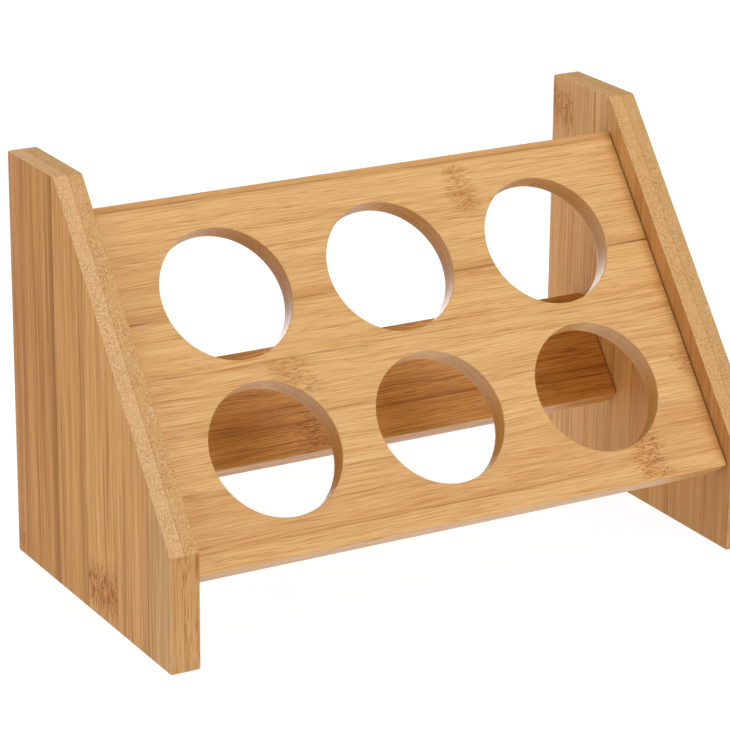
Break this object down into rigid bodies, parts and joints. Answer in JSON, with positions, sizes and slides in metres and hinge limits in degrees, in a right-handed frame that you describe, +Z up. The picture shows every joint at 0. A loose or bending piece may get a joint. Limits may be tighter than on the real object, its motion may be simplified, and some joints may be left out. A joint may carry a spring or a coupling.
{
  "type": "spice rack",
  "caption": "Bamboo countertop spice rack: upright side boards carry a slanted panel with round jar holes and a rear rail that the jar bottoms lean on.",
  "frame": {"origin": "middle of the footprint, on the counter", "axes": "+X across the rack to its right, seen from the front; -Y towards the front; +Z up"},
  "size_m": [0.236, 0.124, 0.1501],
  "materials": {
    "side_bamboo": "laminated bamboo, sanded, satin clear lacquer",
    "panel_bamboo": "laminated bamboo, sanded, satin clear lacquer",
    "dowel_beech": "fluted beech, raw"
  },
  "bodies": {
    "root": {"left_side": "side_bamboo", "right_side": "side_bamboo", "front_panel": "panel_bamboo", "jar_rail": "panel_bamboo", "panel_dowel_lower_left": "dowel_beech", "panel_dowel_lower_right": "dowel_beech", "panel_dowel_upper_left": "dowel_beech", "panel_dowel_upper_right": "dowel_beech", "rail_dowel_lower_left": "dowel_beech", "rail_dowel_lower_right": "dowel_beech", "rail_dowel_upper_left": "dowel_beech", "rail_dowel_upper_right": "dowel_beech"}
  },
  "joints": []
}
